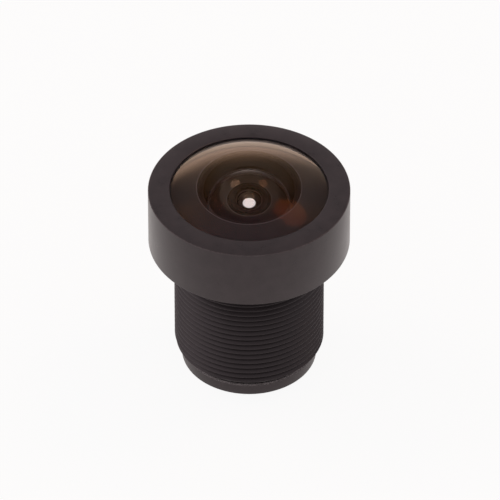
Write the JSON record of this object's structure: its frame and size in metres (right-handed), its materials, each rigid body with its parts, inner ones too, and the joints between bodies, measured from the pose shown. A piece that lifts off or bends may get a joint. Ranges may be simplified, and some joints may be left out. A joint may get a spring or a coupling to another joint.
{
  "type": "security camera lens",
  "caption": "Fixed-focus wide-angle lens for a small security camera: a black round head holds a domed front glass, over a finely threaded barrel and a rear collar with a filter.",
  "frame": {"origin": "centre of the rear face of the collar, on the optical axis, which is the bottom centre of the whole lens as it stands", "axes": "+Z along the optical axis, from the rear face towards the domed front glass; X and Y across the lens"},
  "size_m": [0.016, 0.016, 0.0189],
  "materials": {
    "head_anodised": "satin black anodised, finely turned",
    "barrel_anodised": "satin black anodised, fine thread",
    "collar_anodised": "satin black anodised, bright worn edges",
    "inner_anodised": "matt black anodised",
    "front_glass": "polished, warm anti-reflection coating",
    "inner_glass": "polished, anti-reflection coating",
    "filter_glass": "polished flat filter glass",
    "seal_rubber": "matt black rubber",
    "baffle_film": "matt black film"
  },
  "bodies": {
    "root": {"front_cap": "head_anodised", "main_barrel": "barrel_anodised", "filter_holder": "collar_anodised", "stop_spacer": "inner_anodised", "doublet_spacer": "inner_anodised", "rear_spacer": "inner_anodised", "aperture_stop": "inner_anodised", "retaining_ring": "inner_anodised", "front_element": "front_glass", "second_element": "inner_glass", "third_element": "inner_glass", "fourth_element": "inner_glass", "fifth_element": "inner_glass", "sixth_element": "inner_glass", "infrared_filter": "filter_glass", "front_seal": "seal_rubber", "front_baffle": "baffle_film", "middle_baffle": "baffle_film", "stop_baffle": "baffle_film", "rear_baffle": "baffle_film"}
  },
  "joints": []
}
